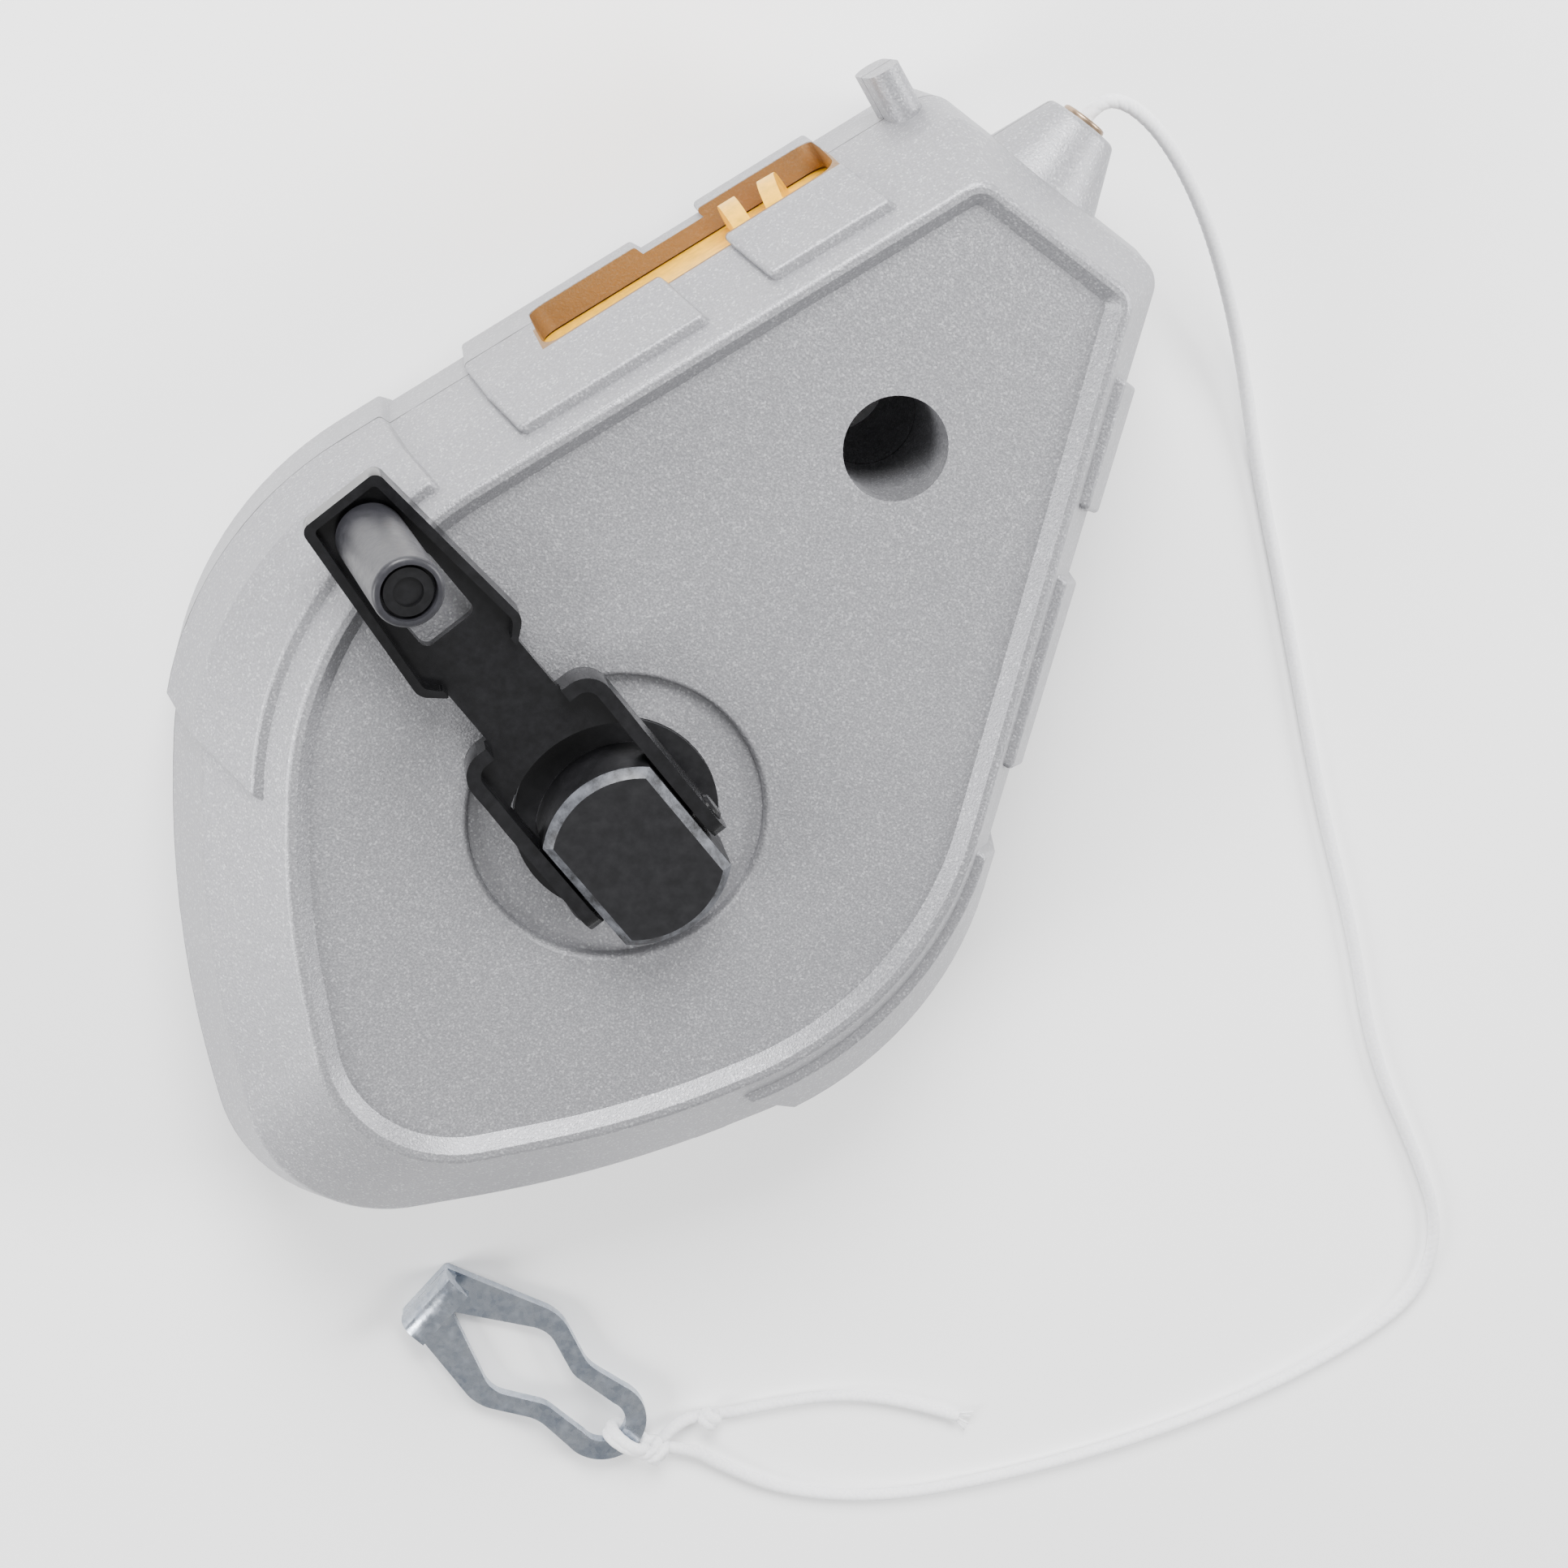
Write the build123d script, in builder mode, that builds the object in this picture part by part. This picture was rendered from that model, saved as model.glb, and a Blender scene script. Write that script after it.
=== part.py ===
from build123d import *
import math
import os

os.makedirs("parts", exist_ok=True)

# Chalk line reel lying on its back. Millimetres, +Z up out of the face, +Y towards the nose,
# origin on the hub's axis at the back face.

# ---- Driving dimensions: case ----
case_depth = 32.4          # back face to the crest of the rim
seam_height = 15.5         # height of the parting seam
border_height = 23.5       # where the side wall turns into the sloping border
chamfer_height = 4.5       # where the side wall turns into the rear chamfer
panel_recess = 1.4         # depth of the face panel below the rim's crest
bevel_width = 1.3          # width of the bevel from the panel up to the crest
crest_flat = 0.9           # width of the rim's crest, from the border to the bevel
crest_round = 0.6
border_round = 1.6
back_round = 0.8
back_rim = 5.0             # width of the flat rim that the case rests on
back_recess = 0.8
wall = 2.5                 # thickness of the cast walls
end_half_width = 14.4      # half width of the flat end that carries the nose
end_place = 75.6           # hub axis to the flat end
side_corner = (48.4, -5.3)     # where side and lower edge would meet, seam outline
lower_corner = (27.1, -39.4)   # slight bend in the lower edge, seam outline
tail_place = 63.8          # hub axis to where the lower edges would meet
outline_radii = (3.2, 38.0, 130.0, 17.6)
least_round = 0.5          # no corner of an outline is sharper

# ---- Driving dimensions: openings in the case ----
hub_ring_radius = 14.9     # shallow round recess about the hub
hub_ring_depth = 1.3
hub_ring_round = 0.6
bevel_round = 0.15
hub_hole_radius = 10.4
hang_hole_radius = 5.25
hang_hole_place = 46.0     # hub axis to the hanging hole
slot_length = 33.2         # chalk filling slot in the left side
slot_width = 12.8
slot_place = 48.8          # how far up the side the slot's middle is
door_depth = 2.3           # door's outer face below the side wall
door_thickness = 1.2
door_travel = 20.0

# ---- Driving dimensions: pads, nose, lug ----
pad_height = 1.1
pad_drop = 2.4             # top of the pads below the rim's crest
pad_round = 0.5
pad_spans = ((52.0, 64.5), (26.3, 45.4), (-18.3, 17.6))
nose_length = 6.4
nose_base_radius = 6.6
nose_tip_radius = 3.9
lug_height = 4.6
lug_length = 7.2
lug_width = 3.4
lug_place = 72.0

# ---- Driving dimensions: hub, crank and reel ----
arm_angle = 163.7          # direction of the crank, from +X
pivot_offset = 3.5         # pivot is this far beyond the hub axis
pivot_height = 3.9         # pivot above the face panel
pin_radius = 1.5
block_radius = 9.4
block_offset = 2.0
block_half_width = 6.6
block_height = 7.5         # block's top above the face panel
ear_inner = 7.0
sheet = 1.4                # crank's sheet steel
plate_height = 2.0         # underside of the crank above the face panel
grip_reach = 38.8          # hub axis to the grip
grip_radius = 3.35
grip_length = 16.4
spool_radius = 32.0
spool_flange = 1.4
spool_bottom = 5.4
spool_top = 24.6
core_radius = 11.0
winding_radius = 27.0
shaft_radius = 6.0

# ---- Driving dimensions: line and hook ----
line_diameter = 1.5
hook_thickness = 1.4
hook_lift = 1.6            # the line's loop under the hook holds it off the surface

# ---- Clearances ----
running_gap = 0.06         # shaft in hole
loose_gap = 0.3            # curved faces that move past each other
sliding_gap = 0.2

panel_height = case_depth - panel_recess
line_radius = line_diameter / 2


# ---------------------------------------------------------------- outline helpers
def full_ring(end, side, lower, tail):
    """Corner points of a closed outline, both sides, starting at the right end corner."""
    right = [end, side, lower]
    left = [(-x, y) for x, y in reversed(right)]
    return right + [(0, tail)] + left


def full_radii(radii):
    right = list(radii[:3])
    return right + [radii[3]] + list(reversed(right))


def grown(points, distance):
    """Corner points moved out square to the edges on both sides of each corner."""
    moved = []
    for index, point in enumerate(points):
        before = Vector(*points[index - 1])
        after = Vector(*points[(index + 1) % len(points)])
        here = Vector(*point)
        way_in = (here - before).normalized()
        way_out = (after - here).normalized()
        normal_in = Vector(-way_in.Y, way_in.X)
        normal_out = Vector(-way_out.Y, way_out.X)
        mitre = (normal_in + normal_out) / (1 + normal_in.dot(normal_out))
        corner = here + mitre * distance
        moved.append((corner.X, corner.Y))
    return moved


def between(first, second, share):
    return [
        (a[0] + (b[0] - a[0]) * share, a[1] + (b[1] - a[1]) * share)
        for a, b in zip(first, second)
    ]


# Outlines from the seam up to the panel. The border is wider at the tail than at the sides.
seam_ring = full_ring((end_half_width, end_place), side_corner, lower_corner, -tail_place)
border_ring = full_ring(
    (end_half_width - 1.1, end_place - 0.7),
    (side_corner[0] - 2.5, side_corner[1] + 0.7),
    (lower_corner[0] - 1.5, lower_corner[1] + 4.0),
    -tail_place + 4.4,
)
crest_ring = full_ring(
    (end_half_width - 4.8, end_place - 4.2),
    (side_corner[0] - 9.0, side_corner[1] + 6.3),
    (lower_corner[0] - 5.2, lower_corner[1] + 13.3),
    -tail_place + 15.9,
)
seam_radii = full_radii(outline_radii)
border_radii = full_radii((3.0, 36.0, 120.0, 15.0))
crest_radii = full_radii((3.0, 38.0, 90.0, 14.5))


def grown_radii(radii, distance):
    return [max(radius + distance, least_round) for radius in radii]


def shell_body(levels):
    """Solid through stacked outlines: each level is height, corner points, corner radii."""
    with BuildPart() as body:
        for height, points, radii in levels:
            with BuildSketch(Plane.XY.offset(height)):
                with BuildLine():
                    FilletPolyline(*points, radius=radii, close=True)
                make_face()
        loft(ruled=True)
    return body.part


def edges_at(part, height):
    """Level edges at a height."""
    return part.edges().filter_by_position(Axis.Z, height, height).filter_by(lambda edge: is_level(edge))


def is_level(edge):
    return edge.bounding_box().size.Z < 0.001


def round_edges(part, radius, height):
    """Circular edges of one radius at a height."""
    circles = edges_at(part, height).filter_by(GeomType.CIRCLE)
    return circles.filter_by(lambda edge: abs(edge.radius - radius) < 0.001)


# ---------------------------------------------------------------- case solids
front_levels = [
    (seam_height, seam_ring, seam_radii),
    (border_height, border_ring, border_radii),
    (case_depth, crest_ring, crest_radii),
]
chamfer_ring = grown(seam_ring, -0.5)
back_ring = grown(seam_ring, -3.2)
rear_levels = [
    (0, back_ring, grown_radii(seam_radii, -2.6)),
    (chamfer_height, chamfer_ring, grown_radii(seam_radii, -0.5)),
    (seam_height, seam_ring, seam_radii),
]

pad_top = case_depth - pad_drop
pad_share = (pad_top - border_height) / (case_depth - border_height)
pad_top_ring = between(border_ring, crest_ring, pad_share)
pad_top_radii = between([(r, 0) for r in border_radii], [(r, 0) for r in crest_radii], pad_share)
pad_top_radii = [radius for radius, _ in pad_top_radii]
front_pad_levels = [
    (seam_height, grown(seam_ring, pad_height), grown_radii(seam_radii, pad_height)),
    (border_height, grown(border_ring, pad_height), grown_radii(border_radii, pad_height)),
    (pad_top, grown(pad_top_ring, pad_height), grown_radii(pad_top_radii, pad_height)),
]
rear_pad_bottom = 2.2
pad_back_ring = between(back_ring, chamfer_ring, rear_pad_bottom / chamfer_height)
rear_pad_levels = [
    (rear_pad_bottom, grown(pad_back_ring, pad_height), grown_radii(seam_radii, -1.0)),
    (chamfer_height, grown(chamfer_ring, pad_height), grown_radii(seam_radii, pad_height - 0.5)),
    (seam_height, grown(seam_ring, pad_height), grown_radii(seam_radii, pad_height)),
]

recess_levels = [
    (height, grown(crest_ring, spread), grown_radii(crest_radii, spread))
    for height, spread in ((panel_height, -crest_flat - bevel_width), (case_depth + 0.01, -crest_flat))
]
inner_top = panel_height - wall
inner_border = border_height - 0.5
front_cavity_levels = [
    (seam_height, grown(seam_ring, -wall), grown_radii(seam_radii, -wall)),
    (inner_border, grown(border_ring, -wall), grown_radii(border_radii, -wall)),
    (inner_top, grown(crest_ring, -0.3), crest_radii),
]
rear_cavity_levels = [
    (wall, grown(back_ring, -wall + 0.8), grown_radii(seam_radii, -wall - 0.6)),
    (chamfer_height + 1.0, grown(chamfer_ring, -wall), grown_radii(seam_radii, -wall - 0.5)),
    (seam_height, grown(seam_ring, -wall), grown_radii(seam_radii, -wall)),
]

# The left side wall's own plane: x runs up the side to the nose, z points out of it.
side_run = Vector(end_half_width - side_corner[0], end_place - side_corner[1]).normalized()
side_up = Vector(-side_run.X, side_run.Y)
side_out = Vector(-side_run.Y, -side_run.X)


def side_plane(place):
    """Plane on the left side wall at the seam, at a distance up the reel."""
    x = -(end_half_width + (end_place - place) * -side_run.X / side_run.Y)
    return Plane(
        origin=(x, place, seam_height),
        x_dir=(side_up.X, side_up.Y, 0),
        z_dir=(side_out.X, side_out.Y, 0),
    )


door_plane = side_plane(slot_place)
lug_plane = side_plane(lug_place)

# Screws hold the rear half to posts in the front half.
screw_places = ((8.6, 63.0), (-8.6, 63.0), (30.0, -24.0), (-30.0, -24.0), (0.0, -47.5))
post_radius = 3.1
screw_radius = 1.3
screw_head_radius = 2.6
screw_head_depth = 1.8
screw_tip = 21.0
post_top = 24.5

tube_radius = hang_hole_radius + 2.0
hub_boss_radius = 16.0
hub_boss_bottom = 26.4
bush_radius = 6.0
bush_height = 4.6

# Door and its channel, in the side wall's plane (y is across the case).
door_half_width = slot_width / 2 + 0.8
door_end = slot_length / 2 + 1.0
channel_half_width = door_half_width + sliding_gap
channel_end = door_end + 0.4
ledge_lip = 5.6            # the ledges reach in to here behind the door
ledge_outer = 9.6
ledge_thickness = 1.2
door_inner = door_depth + door_thickness
ledge_top = door_inner + sliding_gap

# Room for the felt wiper behind the nose.
wiper_half = 5.0
wiper_back = 66.5
wiper_front = end_place - wall - 0.6
rib = 1.2


def round_column(place, radius, bottom, top, mode=Mode.ADD):
    with BuildSketch(Plane.XY.offset(bottom)) as disc:
        with Locations(place):
            Circle(radius)
    extrude(disc.sketch, amount=top - bottom, mode=mode)


def block_between(low, high, mode=Mode.ADD):
    """Box from its lowest to its highest corner."""
    size = [b - a for a, b in zip(low, high)]
    middle = [(a + b) / 2 for a, b in zip(low, high)]
    with Locations(tuple(middle)):
        Box(*size, mode=mode)


def side_block(low, high, mode=Mode.ADD):
    """Box in the slot's side plane: along the side, across the case, depth below the wall."""
    size = [b - a for a, b in zip(low, high)]
    middle = [(a + b) / 2 for a, b in zip(low, high)]
    with Locations(door_plane):
        with Locations((middle[0], middle[1], -middle[2])):
            Box(*size, mode=mode)


def line_way(low, high, radius, mode):
    """Round passage for the line along the case's axis, at the seam."""
    with BuildSketch(Plane((0, low, seam_height), x_dir=(1, 0, 0), z_dir=(0, 1, 0))) as disc:
        Circle(radius)
    extrude(disc.sketch, amount=high - low, mode=mode)


def pad_pieces(levels, rim_height):
    """Three raised bands that stand out as pads on both sides, softened at their ends and rim."""
    low = levels[0][0]
    high = levels[-1][0]
    skin = shell_body(levels)
    with BuildPart() as pads:
        add(skin)
        with BuildSketch(Plane.XY.offset(low)):
            for start, stop in pad_spans:
                with Locations((0, (start + stop) / 2)):
                    Rectangle(200, stop - start)
        extrude(amount=high - low, mode=Mode.INTERSECT)
        ends = pads.edges().filter_by(lambda edge: edge.bounding_box().size.Y < 0.001)
        ends = ends.filter_by(lambda edge: not is_level(edge))
        fillet(ends + edges_at(pads.part, rim_height), radius=pad_round)
    return pads.part


def shell_inside(low, high, outer):
    """Everything inside one half: bore tube, posts, ledges and ribs, kept within its outside."""
    with BuildPart() as inside:
        round_column((0, hang_hole_place), tube_radius, low, high)
        for place in screw_places:
            round_column(place, post_radius, low, high)
        side_block(
            (-door_end - door_travel - 0.8, ledge_lip, ledge_top),
            (channel_end, ledge_outer, ledge_top + ledge_thickness),
        )
        side_block(
            (-door_end - door_travel - 0.8, -ledge_outer, ledge_top),
            (channel_end, -ledge_lip, ledge_top + ledge_thickness),
        )
        side_block(
            (-door_end - door_travel - 0.8, channel_half_width, 0.4),
            (channel_end, ledge_outer, ledge_top + 0.1),
        )
        side_block(
            (-door_end - door_travel - 0.8, -ledge_outer, 0.4),
            (channel_end, -channel_half_width, ledge_top + 0.1),
        )
        for x in (-wiper_half - rib, wiper_half):
            block_between((x, wiper_back - rib, low), (x + rib, wiper_front + 1, high))
        block_between((-wiper_half - rib, wiper_back - rib, low), (wiper_half + rib, wiper_back, high))
        add(outer, mode=Mode.INTERSECT)
    return inside.part


def cut_slot_and_channel():
    """Chalk slot through the side wall, and the channel that the door slides in."""
    with BuildSketch(door_plane.offset(pad_height + 1)) as slot:
        RectangleRounded(slot_length, slot_width, 1.8)
    extrude(slot.sketch, amount=-(pad_height + 1 + door_inner + 3), mode=Mode.SUBTRACT)
    side_block(
        (-door_end - door_travel - 0.4, -channel_half_width, door_depth - sliding_gap),
        (channel_end, channel_half_width, ledge_top),
        mode=Mode.SUBTRACT,
    )
    side_block(
        (-door_end - door_travel - 0.4, -ledge_lip, ledge_top - 0.1),
        (channel_end, ledge_lip, ledge_top + ledge_thickness + 0.1),
        mode=Mode.SUBTRACT,
    )


# ---------------------------------------------------------------- front shell
front_outer = shell_body(front_levels)
with BuildPart() as front_skin:
    add(front_outer)
    fillet(edges_at(front_skin.part, border_height), radius=border_round)
    fillet(edges_at(front_skin.part, case_depth), radius=crest_round)
recess = shell_body(recess_levels)
front_inside = shell_inside(seam_height, inner_top + 1, front_outer)
with BuildPart() as front_shell:
    add(front_skin.part)
    add(pad_pieces(front_pad_levels, pad_top))
    add(shell_body(front_cavity_levels), mode=Mode.SUBTRACT)
    add(front_inside)
    # Boss on the inside that the hub runs in.
    round_column((0, 0), hub_boss_radius, hub_boss_bottom, inner_top + 0.5)
    # Lug for parking the hook.
    with BuildSketch(lug_plane.offset(-1.5)):
        with Locations(Rotation(0, 0, 90 + 8)):
            SlotOverall(lug_length, lug_width)
    extrude(amount=lug_height + 1.5)
    block_between((-60, 50, -1), (60, 90, seam_height), mode=Mode.SUBTRACT)
    add(recess, mode=Mode.SUBTRACT)
    fillet(edges_at(front_shell.part, case_depth), radius=bevel_round)
    # Hub ring, hub hole and hanging hole.
    round_column((0, 0), hub_ring_radius, panel_height - hub_ring_depth, case_depth, Mode.SUBTRACT)
    fillet(round_edges(front_shell.part, hub_ring_radius, panel_height), radius=hub_ring_round)
    round_column((0, 0), hub_hole_radius, hub_boss_bottom - 1, case_depth, Mode.SUBTRACT)
    round_column((0, hang_hole_place), hang_hole_radius, 0, case_depth, Mode.SUBTRACT)
    cut_slot_and_channel()
    for place in screw_places:
        round_column(place, screw_radius, seam_height - 1, screw_tip + 0.5, Mode.SUBTRACT)
    line_way(wiper_back - rib - 1, wiper_back + 1, 1.6, Mode.SUBTRACT)
    line_way(wiper_front - 1, end_place + 1, 3.2, Mode.SUBTRACT)
    line_way(wiper_front, end_place - wall + 0.9, 5.0, Mode.SUBTRACT)
front_shell.part.label = "front_shell"

# ---------------------------------------------------------------- rear shell
rear_outer = shell_body(rear_levels)
with BuildPart() as rear_skin:
    add(rear_outer)
    fillet(edges_at(rear_skin.part, chamfer_height), radius=border_round)
    fillet(edges_at(rear_skin.part, 0), radius=back_round)
rear_inside = shell_inside(wall - 0.5, seam_height, rear_outer)
back_panel_ring = grown(back_ring, -back_rim)
back_panel_radii = grown_radii(seam_radii, -2.6 - back_rim)
with BuildPart() as back_panel:
    with BuildSketch(Plane.XY):
        with BuildLine():
            FilletPolyline(*back_panel_ring, radius=back_panel_radii, close=True)
        make_face()
        Circle(hub_boss_radius, mode=Mode.SUBTRACT)
        with Locations((0, hang_hole_place)):
            Circle(tube_radius + 1.6, mode=Mode.SUBTRACT)
        with Locations(*screw_places):
            Circle(screw_head_radius + 2.0, mode=Mode.SUBTRACT)
    extrude(amount=back_recess)
    chamfer(edges_at(back_panel.part, back_recess), length=0.3)
with BuildPart() as rear_shell:
    add(rear_skin.part)
    add(pad_pieces(rear_pad_levels, rear_pad_bottom))
    add(shell_body(rear_cavity_levels), mode=Mode.SUBTRACT)
    add(rear_inside)
    # Shallow panel in the back, with rings left level with the rim.
    add(back_panel.part, mode=Mode.SUBTRACT)
    # Boss on the inside that holds the bush.
    round_column((0, 0), bush_radius + 2.5, wall - 0.5, bush_height)
    with BuildSketch(lug_plane.offset(-1.5)):
        with Locations(Rotation(0, 0, 90 + 8)):
            SlotOverall(lug_length, lug_width)
    extrude(amount=lug_height + 1.5)
    block_between((-60, 50, seam_height), (60, 90, case_depth + 5), mode=Mode.SUBTRACT)
    round_column((0, 0), bush_radius, wall - 1.0, bush_height + 1, Mode.SUBTRACT)
    round_column((0, hang_hole_place), hang_hole_radius, -1, case_depth, Mode.SUBTRACT)
    cut_slot_and_channel()
    for place in screw_places:
        round_column(place, screw_radius + 0.2, -1, seam_height + 1, Mode.SUBTRACT)
        round_column(place, screw_head_radius + 0.2, -1, screw_head_depth + 0.2, Mode.SUBTRACT)
    line_way(wiper_back - rib - 1, wiper_back + 1, 1.6, Mode.SUBTRACT)
    line_way(wiper_front - 1, end_place + 1, 3.2, Mode.SUBTRACT)
    line_way(wiper_front, end_place - wall + 0.9, 5.0, Mode.SUBTRACT)
rear_shell.part.label = "rear_shell"

# ---------------------------------------------------------------- nose, eyelet, wiper
nose_tip = end_place + nose_length
eyelet_lip = 0.6
eyelet_radius = 1.7
eyelet_hole = line_radius + 0.2
nose_root = 1.2            # the cone starts this far inside the end wall, cut to its slope
with BuildPart() as nose_turned:
    with BuildSketch(Plane.XY):
        with BuildLine():
            Polyline(
                (eyelet_radius, wiper_front + 0.1),
                (4.8, wiper_front + 0.1),
                (4.8, end_place - wall + 0.8),
                (3.1, end_place - wall + 0.8),
                (3.1, end_place - nose_root),
                (nose_base_radius + 0.5, end_place - nose_root),
                (nose_tip_radius, nose_tip),
                (eyelet_radius, nose_tip),
                close=True,
            )
        make_face()
    revolve(axis=Axis.Y)
    tip_edge = nose_turned.edges().filter_by(GeomType.CIRCLE).group_by(Axis.Y)[-1].sort_by(SortBy.RADIUS)[-1]
    fillet(tip_edge, radius=0.8)
with BuildPart() as nose:
    add(nose_turned.part.moved(Location((0, 0, seam_height))))
    add(front_shell.part, mode=Mode.SUBTRACT)
    add(rear_shell.part, mode=Mode.SUBTRACT)
nose.part.label = "nose"

with BuildPart() as line_eyelet:
    with BuildSketch(Plane.XY):
        with BuildLine():
            Polyline(
                (eyelet_hole, wiper_front + 0.1),
                (eyelet_radius, wiper_front + 0.1),
                (eyelet_radius, nose_tip),
                (eyelet_radius + 0.7, nose_tip),
                (eyelet_radius + 0.7, nose_tip + eyelet_lip),
                (eyelet_hole, nose_tip + eyelet_lip),
                close=True,
            )
        make_face()
    revolve(axis=Axis.Y)
    lip_edge = line_eyelet.edges().group_by(Axis.Y)[-1].sort_by(SortBy.RADIUS)[-1]
    fillet(lip_edge, radius=0.3)
line_eyelet.part = line_eyelet.part.moved(Location((0, 0, seam_height)))
line_eyelet.part.label = "line_eyelet"

with BuildPart() as line_wiper:
    block_between(
        (-wiper_half, wiper_back, seam_height - 6),
        (wiper_half, wiper_front, seam_height + 6),
    )
    line_way(wiper_back - 1, wiper_front + 1, line_radius, Mode.SUBTRACT)
line_wiper.part.label = "line_wiper"

# ---------------------------------------------------------------- hub, shaft, reel
arm_way = Vector(math.cos(math.radians(arm_angle)), math.sin(math.radians(arm_angle)), 0)
pivot_z = panel_height + pivot_height
journal_top = panel_height - hub_ring_depth + 0.5
journal_bottom = hub_boss_bottom - 0.6
block_top = panel_height + block_height


def arm_plane(height):
    """Level plane whose x runs from the hub's axis along the crank."""
    return Plane(origin=(0, 0, height), x_dir=(arm_way.X, arm_way.Y, 0), z_dir=(0, 0, 1))


pivot_plane = Plane(
    origin=(-arm_way.X * pivot_offset, -arm_way.Y * pivot_offset, pivot_z),
    x_dir=(arm_way.X, arm_way.Y, 0),
    z_dir=(arm_way.Y, -arm_way.X, 0),
)
spigot_half = 4.0
spigot_length = 3.0
pin_start = 3.0            # pins are pressed into the block from here outward
pin_stand_out = 0.4
with BuildPart() as hub_block:
    with BuildSketch(arm_plane(journal_bottom)):
        Circle(hub_hole_radius - running_gap)
    extrude(amount=journal_top - journal_bottom)
    with BuildSketch(arm_plane(journal_top)) as block_sketch:
        with Locations((-block_offset, 0)):
            Circle(block_radius)
            Rectangle(4 * block_radius, 2 * block_half_width, mode=Mode.INTERSECT)
    extrude(amount=block_top - journal_top)
    chamfer(hub_block.faces().sort_by(Axis.Z)[-1].edges(), length=0.9)
    for side in (-1, 1):
        with BuildSketch(pivot_plane.offset(side * pin_start)):
            Circle(pin_radius)
        extrude(amount=side * block_half_width, mode=Mode.SUBTRACT)
    with BuildSketch(arm_plane(journal_bottom)):
        Rectangle(2 * spigot_half, 2 * spigot_half)
    extrude(amount=spigot_length, mode=Mode.SUBTRACT)
hub_block.part.label = "hub_block"

with BuildPart() as crank_pins:
    for side in (-1, 1):
        with BuildSketch(pivot_plane.offset(side * pin_start)):
            Circle(pin_radius)
        extrude(amount=side * (ear_inner + sheet + pin_stand_out - pin_start))
    chamfer(crank_pins.edges().group_by(Axis(pivot_plane.origin, pivot_plane.z_dir))[0], length=0.3)
    chamfer(crank_pins.edges().group_by(Axis(pivot_plane.origin, pivot_plane.z_dir))[-1], length=0.3)
crank_pins.part.label = "crank_pins"

shaft_bottom = wall - 0.6
journal_radius = 3.2
flange_top = journal_bottom
flange_bottom = flange_top - 0.9
flange_radius = 13.6
washer_gap = 0.1
washer_inner = hub_hole_radius + 0.2
with BuildPart() as drive_shaft:
    round_column((0, 0), shaft_radius, spool_bottom, flange_bottom)
    round_column((0, 0), flange_radius, flange_bottom, flange_top)
    with BuildSketch(arm_plane(flange_top)):
        Rectangle(2 * spigot_half, 2 * spigot_half)
    extrude(amount=spigot_length)
    round_column((0, 0), journal_radius, shaft_bottom, spool_bottom)
drive_shaft.part.label = "drive_shaft"

with BuildPart() as hub_washer:
    round_column((0, 0), flange_radius - 0.2, flange_top, hub_boss_bottom - washer_gap)
    round_column((0, 0), washer_inner, flange_top - 1, hub_boss_bottom, Mode.SUBTRACT)
hub_washer.part.label = "hub_washer"

with BuildPart() as rear_bush:
    round_column((0, 0), bush_radius, wall - 1.0, bush_height)
    round_column((0, 0), journal_radius + running_gap, wall - 1.0, bush_height + 1, Mode.SUBTRACT)
rear_bush.part.label = "rear_bush"

with BuildPart() as spool:
    round_column((0, 0), spool_radius, spool_bottom, spool_bottom + spool_flange)
    round_column((0, 0), spool_radius, spool_top - spool_flange, spool_top)
    round_column((0, 0), core_radius, spool_bottom, spool_top)
    round_column((0, 0), shaft_radius, 0, case_depth, Mode.SUBTRACT)
    with BuildSketch(Plane.XY.offset(spool_top - spool_flange)):
        with PolarLocations(21.0, 6):
            Circle(4.2)
    extrude(amount=2 * spool_flange, mode=Mode.SUBTRACT)
spool.part.label = "spool"

clip_thickness = 0.5
with BuildPart() as spool_clip:
    round_column((0, 0), journal_radius + 2.2, spool_bottom - clip_thickness, spool_bottom)
    round_column((0, 0), journal_radius, 0, spool_bottom, Mode.SUBTRACT)
    block_between((0, -1.6, 0), (10, 1.6, spool_bottom), Mode.SUBTRACT)
spool_clip.part.label = "spool_clip"

with BuildPart() as line_winding:
    round_column((0, 0), winding_radius, spool_bottom + spool_flange, spool_top - spool_flange)
    round_column((0, 0), core_radius, 0, case_depth, Mode.SUBTRACT)
line_winding.part.label = "line_winding"

# ---------------------------------------------------------------- crank
plate_bottom = panel_height + plate_height
plate_top = plate_bottom + sheet
ear_outer = ear_inner + sheet
ear_top = pivot_z + 2.3
yoke_reach = 16.0
ear_reach = 11.0            # ears run into the yoke's shoulders here
ear_round = 2.6
neck_half = 4.3
frame_start = 22.2
frame_half = 6.3
frame_shoulder = 1.8
window_start = 26.8        # opening in the frame's floor
window_end = 34.6
window_width = 6.2
frame_end = 43.6
frame_end_half = 4.5
frame_wall = 0.9
frame_rise = 1.9
inner_arc = hub_hole_radius + 0.9


def frame_points(inset):
    """Outline of the dished outer frame, from neck to end."""
    half = [
        (frame_start + inset, -neck_half),
        (frame_start + frame_shoulder + inset * 0.4, -frame_half + inset),
        (frame_end - inset, -frame_end_half + inset),
    ]
    return half + [(x, -y) for x, y in reversed(half)]


# The grip leans back towards the hub.
grip_lean = Vector(0.17, 0.06, 1).normalized()
grip_base = plate_top + 0.8    # middle of the grip's lower end
rivet_radius = 1.5
rivet_head_radius = 2.3
counterbore = 1.3


def grip_plane(height):
    """Plane square to the leaning grip, at a height along it."""
    base = arm_way * grip_reach + Vector(0, 0, grip_base)
    return Plane(origin=base + grip_lean * height, z_dir=grip_lean)


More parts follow.
